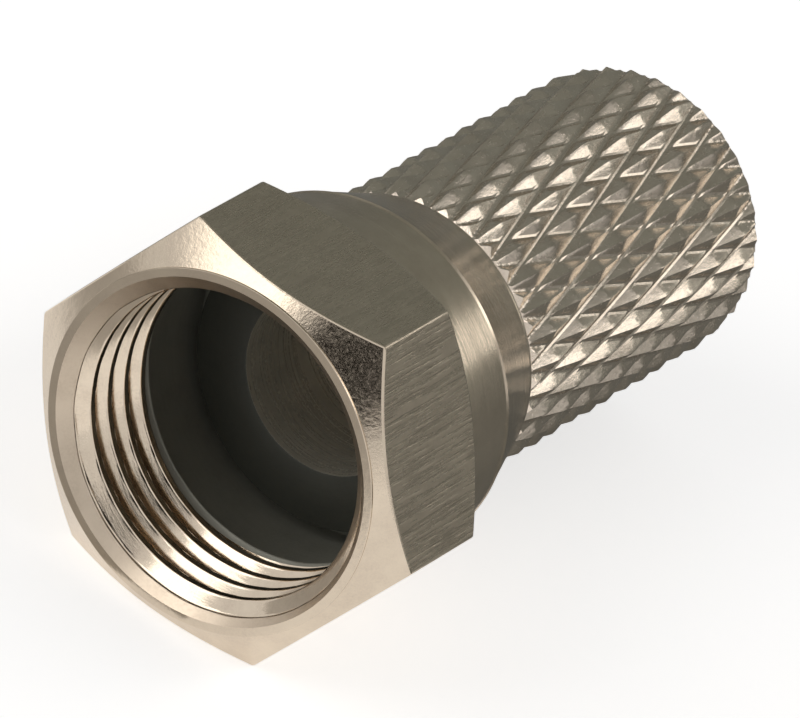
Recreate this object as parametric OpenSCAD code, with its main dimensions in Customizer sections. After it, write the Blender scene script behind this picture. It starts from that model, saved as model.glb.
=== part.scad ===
// Twist-on coaxial cable connector: a free-turning hex coupling nut, a flanged
// ferrule that holds the nut, and a knurled sleeve that screws onto the cable.
// It lies on one flat of the nut, with the mouth of the nut towards -Y and the
// cable end towards +Y. The origin is on that surface, under the middle of the part.

/* [Coupling nut] */
// Width of the nut across its flats
nut_af = 11; // [10.8:0.1:13]
// Length of the nut from its mouth to its rear face
nut_len = 9.4; // [8.8:0.1:12]
// Outer diameter of the flat ring round the mouth
mouth_face_d = 10.35; // [10.15:0.05:10.6]
// Height of that ring above the chamfer round it
mouth_face_step = 0.06; // [0.02:0.02:0.2]
// Distance from the mouth to the rear corners of the hexagon
hex_len = 3.9; // [3:0.1:4.5]
// Angle of the hexagon's front and rear chamfers
hex_chamfer_angle = 34; // [25:1:40]
// Diameter of the round shoulder where the hexagon ends
shoulder_d = 10.8; // [10.6:0.1:11]
// Distance from the mouth to the edge where the shoulder turns into the tail
shoulder_edge_y = 6.8; // [6.5:0.1:7.5]
// Diameter of the tail at the rear face
tail_d = 8.6; // [8.2:0.1:9]
// Radius of the rounding at the tail's rear edge
tail_edge_r = 0.25; // [0.1:0.05:0.4]

/* [Coupling thread] */
// Minor diameter of the internal coupling thread
thread_minor_d = 8.7; // [8.6:0.05:8.9]
// Distance from the mouth to the end of the thread
thread_end = 3.7; // [3:0.1:4.2]
// Diameter of the countersink at the mouth
countersink_d = 9.85; // [9.5:0.05:10]
// Diameter of the relief groove behind the thread
relief_d = 9.6; // [9.3:0.1:9.7]
// Thickness of the wall over that groove, at the shoulder's edge
relief_wall = 0.32; // [0.25:0.01:0.5]

/* [Ferrule] */
// Distance from the mouth to the face of the ferrule's flange
flange_face = 5.7; // [5:0.1:6]
// Diameter of the flange
flange_d = 8.5; // [8:0.1:8.6]
// Thickness of the flange
flange_t = 1; // [0.7:0.1:1.2]
// Bore for the cable's insulated core
core_bore_d = 5.2; // [4.6:0.1:5.4]
// Outer diameter of the ferrule's stem
stem_d = 5.9; // [5.7:0.1:6.1]
// Chamfer at the front edge of the core bore
core_chamfer = 0.1; // [0.05:0.05:0.2]

/* [Sleeve] */
// Outer diameter over the tips of the knurl
sleeve_d = 8.6; // [8.4:0.1:9.2]
// Length of the sleeve behind its front shoulder
sleeve_len = 11.75; // [9:0.25:16]
// Outer diameter of the neck that carries the nut
neck_d = 7; // [6.8:0.1:7.4]
// Thickness of the wall between the neck and the cable chamber
front_wall = 1.75; // [1.2:0.05:3]
// Minor diameter of the cable thread in the chamber
chamber_d = 6.5; // [6.3:0.1:6.8]
// Diameter of the lead-in at the chamber's mouth
lead_in_d = 7.3; // [7:0.1:7.6]
// Chamfer at both ends of the knurled surface
sleeve_chamfer = 0.3; // [0.1:0.05:0.4]

/* [Knurl] */
// Number of grooves in each direction round the sleeve
knurl_count = 32; // [24:1:40]
// Angle between the grooves and the sleeve's axis
knurl_angle = 17; // [12:1:30]
// Depth of the grooves
knurl_depth = 0.28; // [0.15:0.01:0.35]

/* [Fits] */
// Radial running clearance between the nut and the neck
running_gap = 0.06; // [0.02:0.01:0.1]
// Axial play of the nut between the flange and its own inner shoulder
axial_gap = 0.06; // [0.02:0.01:0.2]
// Gap between the nut's rear face and the sleeve's front shoulder
rear_gap = 0.15; // [0.1:0.05:0.3]

/* [Hidden] */
$fn = 96;
eps = 0.01;

corner_r = nut_af / 2 / cos(30);
shoulder_y = hex_len + (corner_r - shoulder_d / 2) * tan(hex_chamfer_angle);
countersink_depth = (countersink_d - thread_minor_d) / 2;
relief_lead = (relief_d - thread_minor_d) / 2;
shoulder_edge_r = relief_d / 2 + relief_wall;
nut_shoulder_y = flange_face + flange_t + axial_gap;
lip_bore_r = neck_d / 2 + running_gap;
core_mouth_d = core_bore_d + 2 * (core_chamfer + eps);

sleeve_front = nut_len + rear_gap;
sleeve_end = sleeve_front + sleeve_len;
neck_front = flange_face + flange_t;
chamber_y = sleeve_front + front_wall;
lead_in_depth = (lead_in_d - chamber_d) / 2;

tip_r = sleeve_d / 2;
root_r = tip_r - knurl_depth;
knurl_cols = 2 * knurl_count;
knurl_row = PI * sleeve_d / knurl_count / tan(knurl_angle) / 2;
knurl_rows = ceil(sleeve_len / knurl_row) + 2;
knurl_margin = (knurl_rows * knurl_row - sleeve_len) / 2;

nickel = [0.74, 0.69, 0.62];
dark_nickel = [0.36, 0.34, 0.3];
satin_nickel = [0.62, 0.58, 0.52];

// Lays a piece that was turned about Z, mouth at z = 0, onto the nut's flat.
module lay_down() {
  translate([0, -sleeve_end / 2, nut_af / 2])
    rotate([-90, 0, 0])
      children();
}

// Outline of the nut turned about its axis, before the hexagon is cut.
module nut_outline() {
  far_r = corner_r + 1;
  far_depth = mouth_face_step + (far_r - mouth_face_d / 2) * tan(hex_chamfer_angle);
  far_rear = hex_len - (far_r - corner_r) * tan(hex_chamfer_angle);
  polygon([
    [0, 0],
    [mouth_face_d / 2, 0],
    [mouth_face_d / 2, mouth_face_step],
    [far_r, far_depth],
    [far_r, far_rear],
    [shoulder_d / 2, shoulder_y],
    [shoulder_edge_r, shoulder_edge_y],
    [tail_d / 2, nut_len - tail_edge_r],
    [tail_d / 2 - tail_edge_r, nut_len],
    [0, nut_len]
  ]);
  translate([tail_d / 2 - tail_edge_r, nut_len - tail_edge_r])
    circle(r = tail_edge_r);
}

// Outline of everything bored out of the nut, from its mouth to its rear lip.
module nut_bore_outline() {
  polygon([
    [0, -eps],
    [countersink_d / 2 + eps, -eps],
    [thread_minor_d / 2, countersink_depth],
    [thread_minor_d / 2, thread_end],
    [relief_d / 2, thread_end + relief_lead],
    [relief_d / 2, nut_shoulder_y],
    [lip_bore_r, nut_shoulder_y],
    [lip_bore_r, nut_len + eps],
    [0, nut_len + eps]
  ]);
}

module coupling_nut() {
  color(nickel)
    lay_down()
      difference() {
        intersection() {
          rotate_extrude() nut_outline();
          union() {
            cylinder(r = corner_r, h = shoulder_y, $fn = 6);
            translate([0, 0, hex_len - eps])
              cylinder(d = shoulder_d, h = nut_len - hex_len + eps);
          }
        }
        rotate_extrude() nut_bore_outline();
      }
}

module ferrule() {
  color(dark_nickel)
    lay_down()
      difference() {
        union() {
          translate([0, 0, flange_face])
            cylinder(d = flange_d, h = flange_t);
          translate([0, 0, flange_face + flange_t - eps])
            cylinder(d = stem_d, h = chamber_y - neck_front + eps);
        }
        translate([0, 0, flange_face - eps])
          cylinder(d = core_bore_d, h = chamber_y - flange_face + 2 * eps);
        translate([0, 0, flange_face - eps])
          cylinder(d1 = core_mouth_d, d2 = core_bore_d, h = core_chamfer + eps);
      }
}

// Pyramids left between two crossing sets of helical grooves, as a closed solid.
module knurl_blank() {
  step = 360 / knurl_cols;
  function knurl_r(col, row) = (col + row) % 2 == 0 ? tip_r : root_r;
  points = concat(
    [for (row = [0:knurl_rows], col = [0:knurl_cols - 1]) [
      knurl_r(col, row) * cos(col * step),
      knurl_r(col, row) * sin(col * step),
      row * knurl_row
    ]],
    [[0, 0, 0], [0, 0, knurl_rows * knurl_row]]
  );
  function at(col, row) = row * knurl_cols + col % knurl_cols;
  base = (knurl_rows + 1) * knurl_cols;
  // Each cell is split along the groove, which joins its two low corners.
  sides = [for (row = [0:knurl_rows - 1], col = [0:knurl_cols - 1], half = [0, 1])
    (col + row) % 2 == 0
      ? (half == 0
          ? [at(col, row), at(col, row + 1), at(col + 1, row)]
          : [at(col + 1, row), at(col, row + 1), at(col + 1, row + 1)])
      : (half == 0
          ? [at(col, row), at(col, row + 1), at(col + 1, row + 1)]
          : [at(col, row), at(col + 1, row + 1), at(col + 1, row)])];
  ends = [for (col = [0:knurl_cols - 1], end = [0, 1])
    end == 0
      ? [base, at(col, 0), at(col + 1, 0)]
      : [base + 1, at(col + 1, knurl_rows), at(col, knurl_rows)]];
  polyhedron(points = points, faces = concat(sides, ends));
}

// The sleeve's envelope: plain ends with a chamfer at each.
module sleeve_envelope() {
  rotate_extrude()
    polygon([
      [0, sleeve_front],
      [tip_r - sleeve_chamfer, sleeve_front],
      [tip_r + eps, sleeve_front + sleeve_chamfer + eps],
      [tip_r + eps, sleeve_end - sleeve_chamfer - eps],
      [tip_r - sleeve_chamfer, sleeve_end],
      [0, sleeve_end]
    ]);
}

module knurled_sleeve() {
  color(satin_nickel)
    lay_down()
      difference() {
        union() {
          intersection() {
            translate([0, 0, sleeve_front - knurl_margin])
              knurl_blank();
            sleeve_envelope();
          }
          translate([0, 0, neck_front])
            cylinder(d = neck_d, h = sleeve_front - neck_front + eps);
        }
        translate([0, 0, neck_front - eps])
          cylinder(d = stem_d, h = chamber_y - neck_front + 2 * eps);
        translate([0, 0, chamber_y])
          cylinder(d = chamber_d, h = sleeve_end - chamber_y + eps);
        translate([0, 0, sleeve_end - lead_in_depth])
          cylinder(d1 = chamber_d, d2 = lead_in_d + 2 * eps, h = lead_in_depth + eps);
      }
}

coupling_nut();
ferrule();
knurled_sleeve();
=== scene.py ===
"""Looks of a twist-on coaxial F connector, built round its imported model."""

import logging
import math
from collections.abc import Callable
from dataclasses import dataclass, field
from enum import Enum, IntEnum

import bmesh
import bpy
from mathutils import Matrix, Quaternion, Vector


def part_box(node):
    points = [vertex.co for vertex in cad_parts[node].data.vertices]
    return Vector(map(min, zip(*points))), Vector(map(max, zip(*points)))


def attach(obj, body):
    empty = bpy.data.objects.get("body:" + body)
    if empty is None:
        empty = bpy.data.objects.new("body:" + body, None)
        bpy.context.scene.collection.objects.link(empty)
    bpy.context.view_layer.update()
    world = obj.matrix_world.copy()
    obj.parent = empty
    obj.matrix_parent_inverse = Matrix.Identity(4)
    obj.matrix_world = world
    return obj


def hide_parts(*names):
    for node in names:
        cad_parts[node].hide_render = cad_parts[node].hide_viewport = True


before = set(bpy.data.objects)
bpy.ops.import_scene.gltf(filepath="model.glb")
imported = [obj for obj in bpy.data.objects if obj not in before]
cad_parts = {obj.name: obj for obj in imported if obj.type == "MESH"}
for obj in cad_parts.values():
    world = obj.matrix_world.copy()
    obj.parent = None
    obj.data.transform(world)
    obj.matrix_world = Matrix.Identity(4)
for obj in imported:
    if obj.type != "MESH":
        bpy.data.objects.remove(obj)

MM = 0.001
INCH_MM = 25.4
TURN = 2 * math.pi
TOUCH_MM = 1e-3  # two places nearer than this are the same place
LOG = logging.getLogger("connector")

Outline = list[tuple[float, float]]
Colour = tuple[float, float, float]
Span = tuple[float, float]


class Grain(Enum):
    """Direction of the fine marks that a machining step leaves."""

    DRAWN = "drawn"
    TURNED = "turned"
    CUT = "cut"


GRAIN_STRETCH = {Grain.DRAWN: 0.045, Grain.CUT: 0.6}  # scale of the marks along the axis
TURNED_STRETCH = 0.03  # scale of the turned marks round the axis


class NutZone(IntEnum):
    """Zones of the nut that have a finish of their own, numbered as its material slots."""

    FLAT = 0
    TURNED = 1
    BORE = 2
    RELIEF = 3
    FACE = 4
    MOUTH = 5


def steps(start: float, stop: float, pace: float) -> list[float]:
    """Spaces values evenly from start to stop.

    Args:
        start: The first value.
        stop: The last value.
        pace: The widest gap that is allowed between two values.

    Returns:
        The values, both ends included.
    """
    count = max(1, math.ceil(abs(stop - start) / pace - 1e-6))
    return [start + (stop - start) * i / count for i in range(count + 1)]


def link_object(name: str, data: bpy.types.ID) -> bpy.types.Object:
    """Makes an object and links it to the scene.

    Args:
        name: Name of the object.
        data: Its mesh, lamp or camera.

    Returns:
        The linked object.
    """
    obj = bpy.data.objects.new(name, data)
    bpy.context.scene.collection.objects.link(obj)
    return obj


def write_mesh(bm: bmesh.types.BMesh, name: str) -> bpy.types.Mesh:
    """Writes a shell to a new mesh.

    Args:
        bm: The shell, which is freed.
        name: Name of the mesh.

    Returns:
        The mesh.
    """
    mesh = bpy.data.meshes.new(name)
    bm.to_mesh(mesh)
    bm.free()
    return mesh


def finish_mesh(
    bm: bmesh.types.BMesh, name: str, crease: float, soft: Callable[[bmesh.types.BMEdge], bool]
) -> bpy.types.Object:
    """Turns a shell into an object that is smooth except along its creases.

    Args:
        bm: The shell, which is freed.
        name: Name of the object.
        crease: Angle in degrees past which an edge stays sharp.
        soft: Says which edges are smooth whatever their angle.

    Returns:
        The linked object.
    """
    limit = math.radians(crease)
    bm.normal_update()
    for face in bm.faces:
        face.smooth = True
    for edge in bm.edges:
        sharp = len(edge.link_faces) == 2 and edge.calc_face_angle(0.0) > limit
        edge.smooth = not sharp or soft(edge)
    return link_object(name, write_mesh(bm, name))


def round_edges(
    bm: bmesh.types.BMesh, edges: list[bmesh.types.BMEdge], width: float
) -> None:
    """Rounds some edges.

    Args:
        bm: The shell to work on.
        edges: The edges to round.
        width: Width of the rounding in mm.
    """
    bmesh.ops.bevel(
        bm, geom=edges, offset=width * MM, offset_type="OFFSET", affect="EDGES", segments=2,
        profile=0.5, material=-1, clamp_overlap=False,
    )


@dataclass(frozen=True)
class Axis:
    """The axis that every piece is turned about, with depths counted from the nut's mouth."""

    height: float
    mouth: float

    def point(self, radius: float, depth: float) -> Vector:
        """Places a point straight to the side of the axis.

        Args:
            radius: Distance from the axis in mm.
            depth: Depth from the nut's mouth in mm.

        Returns:
            The point in metres.
        """
        return Vector((radius * MM, self.mouth + depth * MM, self.height))

    def polar(self, spot: Vector) -> tuple[float, float, float]:
        """Reads a point in the axis's own terms.

        Args:
            spot: A point in metres.

        Returns:
            Radius in mm, angle in radians and depth in mm.
        """
        x, z = spot.x, spot.z - self.height
        return math.hypot(x, z) / MM, math.atan2(-z, x), (spot.y - self.mouth) / MM

    def reset_radius(self, vert: bmesh.types.BMVert, radius: float) -> None:
        """Moves a vertex straight in or out.

        Args:
            vert: The vertex.
            radius: Its new distance from the axis in mm.
        """
        x, z = vert.co.x, vert.co.z - self.height
        scale = radius * MM / math.hypot(x, z)
        vert.co.x, vert.co.z = x * scale, self.height + z * scale

    def turn(self, outline: Outline, columns: int) -> bmesh.types.BMesh:
        """Spins a closed outline all the way round.

        Args:
            outline: Radius and depth of each corner, in order round the section.
            columns: Number of steps in the full turn.

        Returns:
            The closed shell.
        """
        bm = bmesh.new()
        verts = [bm.verts.new(self.point(*corner)) for corner in outline]
        edges = [bm.edges.new((a, b)) for a, b in zip(verts, verts[1:] + verts[:1])]
        bmesh.ops.spin(
            bm, geom=verts + edges, cent=(0, 0, self.height), axis=(0, 1, 0), dvec=(0, 0, 0),
            angle=TURN, steps=columns, use_merge=True, use_normal_flip=False,
            use_duplicate=False,
        )
        bmesh.ops.remove_doubles(bm, verts=bm.verts, dist=1e-7)
        bmesh.ops.recalc_face_normals(bm, faces=bm.faces)
        return bm

    def is_at(self, spot: Vector, radius: float, depth: float) -> bool:
        """Says whether a point lies on a circle round the axis.

        Args:
            spot: A point in metres.
            radius: Radius of the circle in mm.
            depth: Depth of the circle in mm.

        Returns:
            Whether the point is on the circle.
        """
        r, _, y = self.polar(spot)
        return abs(r - radius) < TOUCH_MM and abs(y - depth) < TOUCH_MM

    def soften(self, bm: bmesh.types.BMesh, corners: Outline, width: float) -> None:
        """Rounds the circular edges at some corners of the section.

        Args:
            bm: The shell to work on.
            corners: Radius and depth of each corner in mm.
            width: Width of the rounding in mm.
        """
        edges = [
            edge for corner in corners for edge in bm.edges
            if all(self.is_at(vert.co, *corner) for vert in edge.verts)
        ]
        round_edges(bm, edges, width)


@dataclass(frozen=True)
class Thread:
    """A right-handed internal thread with flat crests and roots.

    Crest and root are shares of the pitch, and the other sizes are in mm.
    """

    minor: float
    depth: float
    pitch: float
    crest: float = 0.25
    root: float = 0.125

    def radius(self, angle: float, y: float) -> float:
        """Works out the threaded wall.

        Args:
            angle: Angle round the axis in radians.
            y: Depth from the nut's mouth in mm.

        Returns:
            The radius of the wall in mm.
        """
        climb = (angle + math.pi / 2) / TURN
        off_crest = abs((y / self.pitch - climb) % 1.0 - 0.5)
        rise = (off_crest - self.crest / 2) / (0.5 - (self.crest + self.root) / 2)
        return self.minor + self.depth * min(max(rise, 0.0), 1.0)


@dataclass(frozen=True)
class Noise:
    """Settings of a noise pattern, with its scale in cycles per mm."""

    scale: float
    detail: float
    rough: float


CLOUDS = Noise(scale=1.1, detail=4.0, rough=0.6)
PITS = Noise(scale=14.0, detail=3.0, rough=0.7)


class Shader:
    """A short way to wire up one material."""

    def __init__(self, name: str) -> None:
        """Starts a material with its principled shader.

        Args:
            name: Name of the material.
        """
        self.material = bpy.data.materials.new(name)
        self.material.use_nodes = True
        self.tree = self.material.node_tree
        self.tree.nodes.clear()
        self.surface = self.add("ShaderNodeBsdfPrincipled")
        output = self.add("ShaderNodeOutputMaterial")
        self.link(self.surface, "BSDF", output, "Surface")

    def add(self, kind: str, **settings: object) -> bpy.types.Node:
        """Adds a node.

        Args:
            kind: Blender's name of the node type.
            **settings: Values for the node's own properties.

        Returns:
            The node.
        """
        node = self.tree.nodes.new(kind)
        for key, value in settings.items():
            setattr(node, key, value)
        return node

    def link(
        self, a: bpy.types.Node, out: str | int, b: bpy.types.Node, into: str | int
    ) -> None:
        """Joins two nodes.

        Args:
            a: The node that gives the value.
            out: Its output.
            b: The node that takes the value.
            into: Its input.
        """
        self.tree.links.new(a.outputs[out], b.inputs[into])

    def math(
        self, operation: str, a: bpy.types.Node, b: bpy.types.Node | float
    ) -> bpy.types.Node:
        """Adds a maths node.

        Args:
            operation: Blender's name of the operation.
            a: The node for the first value.
            b: A node or a number for the second value.

        Returns:
            The node.
        """
        node = self.add("ShaderNodeMath", operation=operation)
        self.link(a, 0, node, 0)
        if isinstance(b, bpy.types.Node):
            self.link(b, 0, node, 1)
        else:
            node.inputs[1].default_value = b
        return node

    def band(self, value: bpy.types.Node, source: Span, target: Span) -> bpy.types.Node:
        """Maps one range of a value onto another, held at both ends.

        Args:
            value: The node that gives the value.
            source: The range that is read.
            target: The range that it becomes.

        Returns:
            The node.
        """
        node = self.add("ShaderNodeMapRange", clamp=True)
        self.link(value, 0, node, 0)
        for index, number in enumerate((*source, *target), start=1):
            node.inputs[index].default_value = number
        return node

    def noise(self, coords: bpy.types.Node, pattern: Noise) -> bpy.types.Node:
        """Adds a noise pattern.

        Args:
            coords: The node whose first output is the place to read.
            pattern: Settings of the noise.

        Returns:
            The node.
        """
        node = self.add("ShaderNodeTexNoise")
        self.link(coords, 0, node, "Vector")
        node.inputs["Scale"].default_value = pattern.scale
        node.inputs["Detail"].default_value = pattern.detail
        node.inputs["Roughness"].default_value = pattern.rough
        return node

    def tint(self, factor: bpy.types.Node, a: Colour, b: Colour) -> None:
        """Mixes two plain colours and gives them to the surface.

        Args:
            factor: The node that gives the share of the second colour.
            a: The first colour.
            b: The second colour.
        """
        node = self.add("ShaderNodeMix", data_type="RGBA")
        self.link(factor, 0, node, "Factor")
        for index, colour in ((6, a), (7, b)):  # the mix node's two colour inputs
            node.inputs[index].default_value = (*colour, 1.0)
        self.link(node, 2, self.surface, "Base Color")  # and its colour output


@dataclass(frozen=True)
class NickelFinish:
    """Aged nickel plate, with the marks of the tool that cut it.

    The marks' depth is in mm, and their scale is in cycles per mm. The flange's and the relief
    groove's copies are darkened as painted shade, not by age.
    """

    name: str
    grain: Grain
    tint: Colour
    stain: Colour
    shine: float
    dull: float
    line_depth: float
    line_scale: float
    speckle: float
    metal: float = 1.0

    def roll(self, shader: Shader, centre: bpy.types.Node) -> bpy.types.Node:
        """Lays out coordinates that are long round the axis.

        Args:
            shader: The material being wired.
            centre: The node that gives places in mm from the nut's mouth on the axis.

        Returns:
            A node whose first output is the vector.
        """
        split = shader.add("ShaderNodeSeparateXYZ")
        shader.link(centre, 0, split, 0)
        across = shader.add("ShaderNodeCombineXYZ")
        shader.link(split, "X", across, "X")
        shader.link(split, "Z", across, "Y")
        radius = shader.add("ShaderNodeVectorMath", operation="LENGTH")
        shader.link(across, 0, radius, 0)
        long = shader.add("ShaderNodeVectorMath", operation="SCALE")
        long.inputs["Scale"].default_value = TURNED_STRETCH
        shader.link(across, 0, long, 0)
        halves = shader.add("ShaderNodeSeparateXYZ")
        shader.link(long, 0, halves, 0)
        along = shader.add("ShaderNodeMath", operation="ADD")
        shader.link(split, "Y", along, 0)
        shader.link(radius, "Value", along, 1)
        out = shader.add("ShaderNodeCombineXYZ")
        shader.link(halves, "X", out, "X")
        shader.link(along, 0, out, "Y")
        shader.link(halves, "Y", out, "Z")
        return out

    def coordinates(self, shader: Shader, axis: Axis) -> bpy.types.Node:
        """Lays out coordinates in mm in which the tool marks are long in one direction.

        Args:
            shader: The material being wired.
            axis: The axis that the piece was turned about.

        Returns:
            A node whose first output is the vector.
        """
        origin = shader.add("ShaderNodeTexCoord")
        centre = shader.add("ShaderNodeMapping")
        centre.inputs["Location"].default_value = (0.0, -axis.mouth / MM, -axis.height / MM)
        centre.inputs["Scale"].default_value = (1 / MM,) * 3
        shader.link(origin, "Object", centre, "Vector")
        if self.grain is Grain.TURNED:
            return self.roll(shader, centre)
        stretch = shader.add("ShaderNodeMapping")
        stretch.inputs["Scale"].default_value = (1.0, GRAIN_STRETCH[self.grain], 1.0)
        shader.link(centre, 0, stretch, "Vector")
        return stretch

    def make(self, axis: Axis) -> bpy.types.Material:
        """Builds the material.

        Args:
            axis: The axis that the piece was turned about.

        Returns:
            The material.
        """
        shader = Shader(self.name)
        spot = shader.add("ShaderNodeTexCoord")
        place = shader.add("ShaderNodeMapping")
        place.inputs["Scale"].default_value = (1 / MM,) * 3
        shader.link(spot, "Object", place, "Vector")
        marks = Noise(scale=self.line_scale, detail=6.0, rough=0.65)
        lines = shader.noise(self.coordinates(shader, axis), marks)
        clouds, pits = shader.noise(place, CLOUDS), shader.noise(place, PITS)

        stained = shader.band(clouds, (0.35, 0.68), (0.0, 1.0))
        broken = shader.band(pits, (0.3, 0.7), (0.3, 1.0))
        shader.tint(shader.math("MULTIPLY", stained, broken), self.tint, self.stain)

        brushed = shader.band(lines, (0.3, 0.7), (self.shine, self.dull))
        speckled = shader.band(pits, (0.45, 0.75), (0.0, self.speckle))
        shader.link(shader.math("ADD", brushed, speckled), 0, shader.surface, "Roughness")

        ridges = shader.band(lines, (0.25, 0.75), (0.0, 1.0))
        grains = shader.band(pits, (0.5, 0.8), (0.0, self.speckle * 4))
        bump = shader.add("ShaderNodeBump")
        bump.inputs["Strength"].default_value = 1.0
        bump.inputs["Distance"].default_value = self.line_depth * MM
        shader.link(shader.math("ADD", ridges, grains), 0, bump, "Height")
        shader.link(bump, 0, shader.surface, "Normal")
        shader.surface.inputs["Metallic"].default_value = self.metal
        return shader.material


FLAT_NICKEL = NickelFinish(
    "drawn_nickel", Grain.DRAWN, tint=(0.62, 0.53, 0.42), stain=(0.53, 0.45, 0.355),
    shine=0.2, dull=0.34, line_depth=0.01, line_scale=10.0, speckle=0.03,
)
FACE_NICKEL = NickelFinish(
    "face_nickel", Grain.CUT, tint=(0.66, 0.56, 0.44), stain=(0.57, 0.475, 0.375),
    shine=0.07, dull=0.16, line_depth=0.004, line_scale=6.0, speckle=0.06,
)
MOUTH_NICKEL = NickelFinish(
    "mouth_nickel", Grain.TURNED, tint=(0.62, 0.52, 0.41), stain=(0.52, 0.43, 0.335),
    shine=0.26, dull=0.42, line_depth=0.006, line_scale=6.0, speckle=0.06,
)
TURNED_NICKEL = NickelFinish(
    "turned_nickel", Grain.TURNED, tint=(0.70, 0.59, 0.465), stain=(0.56, 0.465, 0.365),
    shine=0.12, dull=0.26, line_depth=0.006, line_scale=7.0, speckle=0.05,
)
BORE_NICKEL = NickelFinish(
    "bore_nickel", Grain.TURNED, tint=(0.74, 0.63, 0.50), stain=(0.60, 0.50, 0.395),
    shine=0.06, dull=0.16, line_depth=0.002, line_scale=7.0, speckle=0.05,
)
# painted shade: the relief groove's nickel is given a duller, darker grey so that it renders
# as dark as the shade in the groove
RELIEF_PAINTED_SHADE = NickelFinish(
    "relief_painted_shade", Grain.TURNED, tint=(0.36, 0.36, 0.31), stain=(0.3, 0.3, 0.255),
    shine=0.4, dull=0.55, line_depth=0.003, line_scale=7.0, speckle=0.05, metal=0.2,
)
KNURL_NICKEL = NickelFinish(
    "knurl_nickel", Grain.CUT, tint=(0.74, 0.645, 0.54), stain=(0.60, 0.51, 0.42),
    shine=0.14, dull=0.28, line_depth=0.005, line_scale=9.0, speckle=0.06,
)
# painted shade: the flange is nickel, coloured near black to stand in for the shade and dark
# reflection deep inside the nut
FLANGE_PAINTED_SHADE = NickelFinish(
    "flange_painted_shade", Grain.TURNED, tint=(0.068, 0.071, 0.058), stain=(0.058, 0.06, 0.049),
    shine=0.45, dull=0.6, line_depth=0.002, line_scale=7.0, speckle=0.04, metal=0.15,
)
STEM_NICKEL = NickelFinish(
    "stem_nickel", Grain.TURNED, tint=(0.58, 0.56, 0.485), stain=(0.48, 0.46, 0.395),
    shine=0.2, dull=0.34, line_depth=0.002, line_scale=5.0, speckle=0.04, metal=0.45,
)
NUT_FINISHES = {
    NutZone.FLAT: FLAT_NICKEL,
    NutZone.TURNED: TURNED_NICKEL,
    NutZone.BORE: BORE_NICKEL,
    NutZone.RELIEF: RELIEF_PAINTED_SHADE,
    NutZone.FACE: FACE_NICKEL,
    NutZone.MOUTH: MOUTH_NICKEL,
}


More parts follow.
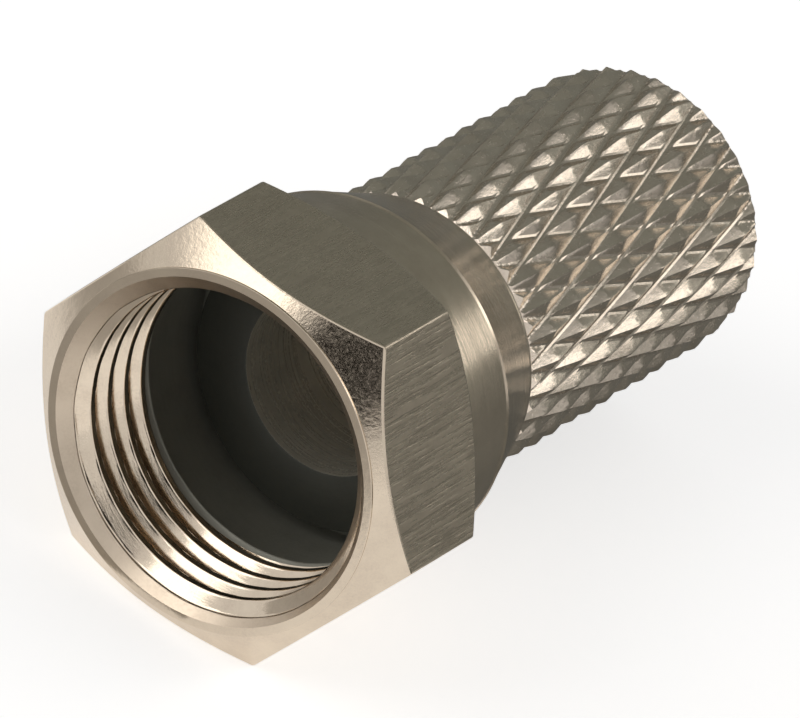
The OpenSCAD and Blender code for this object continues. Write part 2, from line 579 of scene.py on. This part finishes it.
@dataclass
class CouplingNut:
    """The free-turning hex nut, threaded at its mouth. Sizes are in mm and degrees."""

    axis: Axis
    across_flats: float = 11.0
    length: float = 9.4
    mouth_face_r: float = 5.175
    mouth_round: float = 0.02
    face_step: float = 0.06
    hex_end: float = 3.9
    hex_round: float = 0.05
    chamfer_angle: float = 34.0
    chamfer_overrun: float = 1.0
    shoulder_r: float = 5.4
    shoulder_round: float = 0.06
    shoulder_edge_r: float = 5.12
    shoulder_edge: float = 6.8
    bead_start: float = 0.16
    bead_top: float = 0.07
    bead_rise: float = 0.03
    tail_r: float = 4.3
    tail_round: float = 0.25
    countersink_r: float = 4.925
    thread: Thread = field(
        default_factory=lambda: Thread(minor=4.35, depth=0.41, pitch=INCH_MM / 32))
    thread_end: float = 3.7
    thread_pace: float = 0.028
    relief_r: float = 4.8
    inner_shoulder: float = 6.76
    lip_r: float = 3.56
    columns: int = 240
    crease: float = 12.0
    obj: bpy.types.Object | None = None

    def rise(self, radius: float) -> float:
        """Works out how far the chamfers run back.

        Args:
            radius: Radial width of the chamfer in mm.

        Returns:
            Its length along the axis in mm.
        """
        return radius * math.tan(math.radians(self.chamfer_angle))

    def shoulder_start(self) -> float:
        """Returns the depth at which the hexagon's rear chamfer meets the shoulder."""
        corner = self.across_flats / math.sqrt(3)
        return self.hex_end + self.rise(corner - self.shoulder_r)

    def relief_start(self) -> float:
        """Returns the depth at which the run-out of the thread meets the relief groove."""
        return self.thread_end + self.relief_r - self.thread.minor

    def outline(self) -> Outline:
        """Returns the closed section before the flats are cut."""
        corner = self.across_flats / math.sqrt(3)
        far = corner + self.chamfer_overrun
        tail = [
            (
                self.tail_r - self.tail_round * (1 - math.cos(a)),
                self.length - self.tail_round * (1 - math.sin(a)),
            )
            for a in steps(0.0, math.pi / 2, math.pi / 16)
        ]
        depths = reversed(steps(0.0, self.relief_start(), self.thread_pace))
        return [
            (self.mouth_face_r, 0.0),
            (self.mouth_face_r, self.face_step),
            (far, self.face_step + self.rise(far - self.mouth_face_r)),
            (far, self.hex_end - self.rise(far - corner)),
            (self.shoulder_r, self.shoulder_start()),
            *self.bead(),
            (self.shoulder_edge_r, self.shoulder_edge),
            *tail,
            (self.lip_r, self.length),
            (self.lip_r, self.inner_shoulder),
            (self.relief_r, self.inner_shoulder),
            *[(self.wall_radius(0.0, y), y) for y in depths],
        ]

    def bead(self) -> Outline:
        """Returns the fine raised line that the tool left along the shoulder's edge."""
        run = self.shoulder_edge - self.shoulder_start()
        fall = (self.shoulder_edge_r - self.shoulder_r) / run
        return [
            (self.shoulder_edge_r - fall * back + lift, self.shoulder_edge - back)
            for back, lift in ((self.bead_start, 0.0), (self.bead_top, self.bead_rise))
        ]

    def wall_radius(self, angle: float, y: float) -> float:
        """Works out the threaded wall with its countersink and run-out.

        Args:
            angle: Angle round the axis in radians.
            y: Depth from the nut's mouth in mm.

        Returns:
            The radius of the wall in mm.
        """
        lead = self.countersink_r - y
        run_out = self.thread.minor + y - self.thread_end
        return max(self.thread.radius(angle, y), lead, run_out)

    def in_thread(self, edge: bmesh.types.BMEdge) -> bool:
        """Says whether an edge belongs to the threaded wall.

        Args:
            edge: An edge of the shell.

        Returns:
            Whether both its ends are in the thread's zone.
        """
        spots = [self.axis.polar(vert.co) for vert in edge.verts]
        far = self.inner_shoulder - 0.5
        return all(
            r < self.countersink_r + TOUCH_MM and TOUCH_MM < y < far for r, _, y in spots)

    def sides(self) -> list[Vector]:
        """Returns the outward directions of the six flats."""
        angles = [math.radians(30 + 60 * side) for side in range(6)]
        return [Vector((math.cos(angle), 0.0, math.sin(angle))) for angle in angles]

    def build(self) -> None:
        """Builds the nut's mesh."""
        bm = self.axis.turn(self.outline(), self.columns)
        self.cut_flats(bm)
        hex_edges = [
            edge for edge in bm.edges
            if any(len(face.verts) > 8 for face in edge.link_faces)  # only a flat has so many
        ]
        round_edges(bm, hex_edges, self.hex_round)
        self.axis.soften(bm, [(self.mouth_face_r, 0.0)], self.mouth_round)
        self.axis.soften(bm, [(self.shoulder_r, self.shoulder_start())], self.shoulder_round)
        self.cut_thread(bm)
        bm.normal_update()
        for face in bm.faces:
            face.material_index = self.zone(face)
        self.obj = finish_mesh(bm, "nut_shell", self.crease, self.in_thread)

    def cut_flats(self, bm: bmesh.types.BMesh) -> None:
        """Cuts the six flats and closes each one.

        Args:
            bm: The turned shell.
        """
        middle = Vector((0.0, 0.0, self.axis.height))
        for side in self.sides():
            cut = bmesh.ops.bisect_plane(
                bm, geom=bm.verts[:] + bm.edges[:] + bm.faces[:], dist=1e-8,
                plane_co=middle + side * self.across_flats / 2 * MM, plane_no=side,
                use_snap_center=False, clear_outer=True, clear_inner=False,
            )
            rim = [item for item in cut["geom_cut"] if isinstance(item, bmesh.types.BMEdge)]
            bmesh.ops.contextual_create(bm, geom=rim)
            bmesh.ops.remove_doubles(bm, verts=bm.verts, dist=2e-7)
        bmesh.ops.recalc_face_normals(bm, faces=bm.faces)

    def cut_thread(self, bm: bmesh.types.BMesh) -> None:
        """Moves the wall of the bore out to the thread.

        Args:
            bm: The shell with its flats.
        """
        nearest, farthest = self.thread.minor - TOUCH_MM, self.countersink_r + TOUCH_MM
        last = self.relief_start() + TOUCH_MM
        for vert in bm.verts:
            r, angle, y = self.axis.polar(vert.co)
            if nearest <= r < farthest and TOUCH_MM < y < last:
                self.axis.reset_radius(vert, self.wall_radius(angle, y))

    def is_flat(self, face: bmesh.types.BMFace, radius: float) -> bool:
        """Says whether a face is one of the flats or a rounding between two of them.

        Args:
            face: A face of the shell.
            radius: Distance of its middle from the axis in mm.

        Returns:
            Whether it has the finish of the flats.
        """
        apothem = self.across_flats / 2
        square = any(abs(face.normal.dot(side)) > 0.9999 for side in self.sides())
        corner = radius > apothem + 0.6 and abs(face.normal.y) < 0.1
        return (square and radius > apothem - 0.01) or corner

    def zone(self, face: bmesh.types.BMFace) -> NutZone:
        """Finds the zone of a face, with a small allowance at the zones' borders.

        Args:
            face: A face of the shell.

        Returns:
            The zone.
        """
        r, _, y = self.axis.polar(face.calc_center_median())
        allowance, border = 0.02, 0.01
        if self.is_flat(face, r):
            return NutZone.FLAT
        if y < self.hex_end / 2 and r > self.countersink_r:
            return NutZone.FACE
        if y > border / 2 and abs(r - (self.countersink_r - y)) < allowance:
            return NutZone.MOUTH
        if r < self.relief_r + allowance:
            if self.thread_end < y < self.inner_shoulder + border:
                return NutZone.RELIEF
            if border < y < self.thread_end + border:
                return NutZone.BORE
        return NutZone.TURNED

    def dress(self) -> None:
        """Gives the nut its finishes and its body."""
        for zone in NutZone:
            self.obj.data.materials.append(NUT_FINISHES[zone].make(self.axis))
        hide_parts("coupling_nut")
        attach(self.obj, "nut")


@dataclass
class Ferrule:
    """The flanged tube that holds the nut and takes the cable's core. Sizes are in mm."""

    axis: Axis
    flange_face: float = 5.7
    flange_r: float = 4.25
    flange_t: float = 1.0
    bore_r: float = 2.6
    stem_r: float = 2.95
    end: float = 11.3
    edge_round: float = 0.08
    columns: int = 192
    crease: float = 30.0
    obj: bpy.types.Object | None = None

    def build(self) -> None:
        """Builds the ferrule's mesh."""
        back = self.flange_face + self.flange_t
        face_corners = [(self.bore_r, self.flange_face), (self.flange_r, self.flange_face)]
        bm = self.axis.turn([
            *face_corners,
            (self.flange_r, back),
            (self.stem_r, back),
            (self.stem_r, self.end),
            (self.bore_r, self.end),
        ], self.columns)
        self.axis.soften(bm, face_corners, self.edge_round)
        for face in bm.faces:
            r, _, _ = self.axis.polar(face.calc_center_median())
            face.material_index = int(r < self.bore_r + 0.05)
        self.obj = finish_mesh(bm, "ferrule_shell", self.crease, lambda edge: False)

    def dress(self) -> None:
        """Gives the ferrule its finishes, outside then bore, and its body."""
        for finish in (FLANGE_PAINTED_SHADE, STEM_NICKEL):
            self.obj.data.materials.append(finish.make(self.axis))
        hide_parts("ferrule")
        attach(self.obj, "sleeve_body")


@dataclass
class KnurledSleeve:
    """The diamond-knurled sleeve that is twisted onto the cable.

    Sizes are in mm and degrees. The tips' and grooves' flats are shares of a groove.
    """

    axis: Axis
    outer_r: float = 4.3
    front: float = 9.55
    end: float = 21.3
    neck_r: float = 3.5
    neck_front: float = 6.7
    stem_r: float = 2.95
    chamber: float = 11.3
    chamfer: float = 0.3
    chamfer_pace: float = 0.05
    lead_in_r: float = 3.65
    thread: Thread = field(
        default_factory=lambda: Thread(minor=3.25, depth=0.35, pitch=1.6, crest=0.2, root=0.3))
    thread_margin: float = 0.3
    thread_pace: float = 0.16
    knurl_count: int = 32
    knurl_angle: float = 17.0
    knurl_depth: float = 0.28
    cross_depth: float = 0.255
    tip_flat: float = 0.06
    groove_flat: float = 0.08
    row_margin: float = 0.5
    fineness: int = 6
    crease: float = 14.0
    obj: bpy.types.Object | None = None

    def row(self) -> float:
        """Returns the distance along the axis from one row of tips to the next."""
        half_step = math.pi * self.outer_r / self.knurl_count
        return half_step / math.tan(math.radians(self.knurl_angle))

    def first_row(self) -> float:
        """Returns the depth of the first row, ahead of the sleeve's front."""
        length = self.end - self.front
        rows = math.ceil(length / self.row()) + 2
        return self.front - (rows * self.row() - length) / 2

    def groove(self, off: float, depth: float) -> float:
        """Works out how deep one set of grooves cuts.

        Args:
            off: Share of the way from the middle between two grooves to a groove.
            depth: Depth of the groove in mm.

        Returns:
            The depth of the cut in mm, from none between grooves to a flat bottom.
        """
        return depth * min(off / (1 - self.groove_flat), 1.0)

    def knurl_radius(self, angle: float, y: float) -> float:
        """Works out the knurled surface, cut back by the end chamfers.

        Args:
            angle: Angle round the axis in radians.
            y: Depth from the nut's mouth in mm.

        Returns:
            The radius of the surface in mm.
        """
        u = (angle / TURN * 2 * self.knurl_count) % 2
        v = ((y - self.first_row()) / self.row()) % 2
        rising, falling = abs((u + v) % 2 - 1), abs((u - v) % 2 - 1)
        cut = max(
            self.groove(1 - rising, self.knurl_depth),
            self.groove(1 - falling, self.cross_depth),
            self.knurl_depth * self.tip_flat,
        )
        base = self.outer_r - self.chamfer
        return min(self.outer_r - cut, base + y - self.front, base + self.end - y)

    def band_rows(self) -> list[float]:
        """Returns the depths of the knurled surface's rows, closer in the end chamfers."""
        pace = self.row() / self.fineness
        front, back = self.front + self.row_margin, self.end - self.row_margin
        first = self.first_row()
        count = math.ceil((self.end - first) / pace)
        inner = [first + i * pace for i in range(count) if front < first + i * pace < back]
        return [
            *steps(self.front, inner[0], self.chamfer_pace),
            *inner[1:-1],
            *steps(inner[-1], self.end, self.chamfer_pace),
        ]

    def lead_in(self) -> float:
        """Returns the depth at which the cable opening's lead-in starts."""
        return self.end - (self.lead_in_r - self.thread.minor)

    def build(self) -> None:
        """Builds the sleeve's mesh."""
        rows = self.band_rows()
        band = [
            (self.outer_r - self.chamfer if y in (rows[0], rows[-1]) else self.outer_r, y)
            for y in rows
        ]
        thread_start = self.chamber + self.thread_margin
        depths = reversed(steps(thread_start, self.lead_in(), self.thread_pace))
        bm = self.axis.turn([
            (self.neck_r, self.neck_front),
            (self.neck_r, self.front),
            *band,
            (self.lead_in_r, self.end),
            *[(self.thread.radius(0.0, y), y) for y in depths],
            (self.thread.minor, self.chamber),
            (self.stem_r, self.chamber),
            (self.stem_r, self.neck_front),
        ], 2 * self.knurl_count * self.fineness)
        bmesh.ops.poke(bm, faces=[face for face in bm.faces if self.on_skin(face)])
        self.cut(bm)
        self.obj = finish_mesh(bm, "sleeve_shell", self.crease, self.in_chamber)

    def cut(self, bm: bmesh.types.BMesh) -> None:
        """Moves the skin in to the knurl and the chamber's wall out to its thread.

        Args:
            bm: The turned shell.
        """
        skin = self.outer_r - self.chamfer - 0.05
        wall = self.thread.minor - 0.02
        wall_start, wall_end = self.chamber + 0.2, self.lead_in() - TOUCH_MM
        for vert in bm.verts:
            r, angle, y = self.axis.polar(vert.co)
            if r > skin:
                self.axis.reset_radius(vert, self.knurl_radius(angle, y))
            elif wall_start < y < wall_end and wall < r < self.lead_in_r:
                self.axis.reset_radius(vert, self.thread.radius(angle, y))

    def on_skin(self, face: bmesh.types.BMFace) -> bool:
        """Says whether a face belongs to the band that is knurled.

        Args:
            face: A face of the shell.

        Returns:
            Whether all its corners are on the skin.
        """
        skin = self.outer_r - self.chamfer - 0.01
        return all(self.axis.polar(vert.co)[0] > skin for vert in face.verts)

    def in_chamber(self, edge: bmesh.types.BMEdge) -> bool:
        """Says whether an edge belongs to the threaded wall of the cable chamber.

        Args:
            edge: An edge of the shell.

        Returns:
            Whether both its ends are in the chamber.
        """
        spots = [self.axis.polar(vert.co) for vert in edge.verts]
        start, stop = self.chamber + 0.2, self.end - 0.3
        return all(r < self.lead_in_r and start < y < stop for r, _, y in spots)

    def dress(self) -> None:
        """Gives the sleeve its finish and its body."""
        self.obj.data.materials.append(KNURL_NICKEL.make(self.axis))
        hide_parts("knurled_sleeve")
        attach(self.obj, "sleeve_body")


def facing(azimuth: float, elevation: float) -> Vector:
    """Works out the direction from the part to a lamp, a card or the camera.

    Args:
        azimuth: Angle in degrees from -Y towards +X.
        elevation: Angle in degrees above the floor.

    Returns:
        The direction as a unit vector.
    """
    a, e = math.radians(azimuth), math.radians(elevation)
    return Vector((math.sin(a) * math.cos(e), -math.cos(a) * math.cos(e), math.sin(e)))


def aim(back: Vector, roll: float) -> Quaternion:
    """Turns an object so that its -Z looks at the part.

    Args:
        back: Direction from the part to the object.
        roll: Turn in degrees about the line of sight, counter-clockwise.

    Returns:
        The rotation.
    """
    level = (-back).to_track_quat("-Z", "Y")
    return level @ Quaternion((0, 0, 1), math.radians(roll))


def add_panel(name: str, width: float, height: float) -> bpy.types.Object:
    """Adds a plain rectangle.

    Args:
        name: Name of the object.
        width: Size along X in metres.
        height: Size along Y in metres.

    Returns:
        The linked object.
    """
    bm = bmesh.new()
    bmesh.ops.create_grid(bm, x_segments=1, y_segments=1, size=0.5)
    bmesh.ops.scale(bm, vec=(width, height, 1.0), verts=bm.verts)
    return link_object(name, write_mesh(bm, name))


def seen_directly(tree: bpy.types.NodeTree) -> bpy.types.NodeSocket:
    """Picks out the rays that look at a thing, straight or through a polished surface.

    Args:
        tree: The node tree to add to.

    Returns:
        A socket that is 1 for camera, glossy and transmission rays, and 0 for others.
    """
    path = tree.nodes.new("ShaderNodeLightPath")
    socket = path.outputs["Is Camera Ray"]
    for kind in ("Is Glossy Ray", "Is Transmission Ray"):
        either = tree.nodes.new("ShaderNodeMath")
        either.operation = "MAXIMUM"
        tree.links.new(socket, either.inputs[0])
        tree.links.new(path.outputs[kind], either.inputs[1])
        socket = either.outputs[0]
    return socket


@dataclass(frozen=True)
class Card:
    """A flat studio panel that faces the part: a soft lamp, or a plain card to reflect.

    Angles are in degrees and sizes in metres.
    """

    name: str
    azimuth: float
    elevation: float
    distance: float
    width: float
    height: float
    colour: Colour
    roll: float = 0.0
    glow: float = 0.0

    def place(self, target: Vector) -> Matrix:
        """Works out the panel's place.

        Args:
            target: The point that the panel faces.

        Returns:
            Its matrix in the world.
        """
        back = facing(self.azimuth, self.elevation)
        turn = aim(back, self.roll).to_matrix().to_4x4()
        return Matrix.Translation(target + back * self.distance) @ turn

    def lamp(self, target: Vector) -> None:
        """Adds the panel as a soft area lamp whose radiance is its glow.

        Args:
            target: The point that the lamp faces.
        """
        data = bpy.data.lights.new(self.name, "AREA")
        data.shape = "RECTANGLE"
        data.size, data.size_y = self.width, self.height
        data.energy = self.glow * math.pi * self.width * self.height
        data.color = self.colour
        link_object(self.name, data).matrix_world = self.place(target)

    def flag(self, target: Vector) -> None:
        """Adds the panel as a card that only reflections meet.

        Args:
            target: The point that the card faces.
        """
        obj = add_panel(self.name, self.width, self.height)
        obj.matrix_world = self.place(target)
        shader = Shader(self.name)
        shader.surface.inputs["Base Color"].default_value = (*self.colour, 1.0)
        shader.surface.inputs["Roughness"].default_value = 1.0
        shader.surface.inputs["Specular IOR Level"].default_value = 0.0
        obj.data.materials.append(shader.material)
        obj.visible_camera = obj.visible_diffuse = obj.visible_shadow = False


WARM = (1.0, 0.98, 0.95)
DIM = (0.46, 0.49, 0.455)
LOW = (0.32, 0.33, 0.31)
TAN = (0.9, 0.89, 0.87)
PALE = (0.9, 0.9, 0.88)
DARK = (0.03, 0.028, 0.025)
LAMPS = (
    Card("strip_lamp", 134.0, 38.0, 0.5, 0.15, 0.84, WARM, roll=50.0, glow=1.6),
    Card("key_lamp", -38.0, 36.0, 0.5, 0.36, 0.36, WARM, glow=1.5),
)
FLAGS = (
    Card("rear_flag", 178.0, 22.0, 0.55, 1.35, 0.65, DIM),
    Card("upper_flag", 215.0, 62.0, 0.5, 0.5, 0.5, DIM),
    Card("left_flag", 232.0, 20.0, 0.5, 0.3, 0.5, DIM),
    Card("right_flag", 105.0, -8.0, 0.5, 0.6, 0.2, LOW),
    Card("side_card", 256.0, 42.0, 0.45, 0.26, 0.3, PALE),
    Card("front_flag", 15.2, 24.8, 0.5, 0.37, 0.132, DARK, roll=-26.0),
)
FLOOR_FLAGS = (  # each with the middle of its place on the floor
    (Card("low_flag", 0.0, 90.0, 0.0, 0.8, 0.4, LOW), Vector((0.0, 0.2, 0.0003))),
    (Card("near_flag", 0.0, 90.0, 0.0, 0.3, 0.12, TAN), Vector((-0.149, -0.071, 0.0003))),
)


@dataclass
class Studio:
    """Floor, soft lamps, cards, pale surroundings and camera.

    Lens and sensor are in mm, distance and floor in metres, angles in degrees.
    """

    target: Vector
    lens: float = 498.7
    sensor: float = 36.0
    azimuth: float = 22.4196
    elevation: float = 32.8516
    roll: float = 22.607
    distance: float = 0.3007646
    surroundings_light: float = 0.35
    floor_size: float = 4.0
    floor_glow: float = 0.56
    floor_colour: Colour = (0.92, 0.92, 0.92)

    def build(self) -> None:
        """Sets up everything round the part."""
        self.world()
        self.floor()
        for lamp in LAMPS:
            lamp.lamp(self.target)
        for flag in FLAGS:
            flag.flag(self.target)
        for flag, middle in FLOOR_FLAGS:
            flag.flag(middle)
        self.camera()
        bpy.context.scene.view_settings.view_transform = "Standard"

    def world(self) -> None:
        """Makes the surroundings: white to look at and in reflections, dim as a light."""
        world = bpy.data.worlds.new("studio")
        bpy.context.scene.world = world
        world.use_nodes = True
        tree = world.node_tree
        tree.nodes.clear()
        out = tree.nodes.new("ShaderNodeOutputWorld")
        light = tree.nodes.new("ShaderNodeBackground")
        level = tree.nodes.new("ShaderNodeMapRange")
        level.inputs["To Min"].default_value = self.surroundings_light
        level.inputs["To Max"].default_value = 1.0
        tree.links.new(seen_directly(tree), level.inputs["Value"])
        tree.links.new(level.outputs[0], light.inputs["Strength"])
        tree.links.new(light.outputs[0], out.inputs[0])

    def floor(self) -> None:
        """Makes a wide pale floor under the part, lifted a little where it is seen."""
        obj = add_panel("floor", self.floor_size, self.floor_size)
        shader = Shader("pale_floor")
        surface = shader.surface
        surface.inputs["Base Color"].default_value = (*self.floor_colour, 1.0)
        surface.inputs["Roughness"].default_value = 0.9
        surface.inputs["Specular IOR Level"].default_value = 0.0
        surface.inputs["Emission Color"].default_value = (1.0, 1.0, 1.0, 1.0)
        glow = shader.add("ShaderNodeMath", operation="MULTIPLY")
        shader.tree.links.new(seen_directly(shader.tree), glow.inputs[0])
        glow.inputs[1].default_value = self.floor_glow
        shader.link(glow, 0, surface, "Emission Strength")
        obj.data.materials.append(shader.material)

    def camera(self) -> None:
        """Adds the camera."""
        back = facing(self.azimuth, self.elevation)
        data = bpy.data.cameras.new("camera")
        data.lens = self.lens
        data.sensor_width = self.sensor
        data.clip_start, data.clip_end = 0.01, 10.0
        obj = link_object("camera", data)
        obj.location = self.target + back * self.distance
        obj.rotation_mode = "QUATERNION"
        obj.rotation_quaternion = aim(back, self.roll)
        bpy.context.scene.camera = obj


def main() -> None:
    """Builds the connector and the studio round it."""
    logging.basicConfig(level=logging.INFO, format="%(name)s: %(message)s")
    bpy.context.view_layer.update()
    low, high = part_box("coupling_nut")
    axis = Axis(height=(low.z + high.z) / 2, mouth=low.y)
    for piece in (CouplingNut(axis), Ferrule(axis), KnurledSleeve(axis)):
        piece.build()
        piece.dress()
        LOG.info("%s: %d faces", piece.obj.name, len(piece.obj.data.polygons))
    Studio(Vector((0.34, -1.69, 5.3)) * MM).build()


if __name__ == "__main__":
    main()
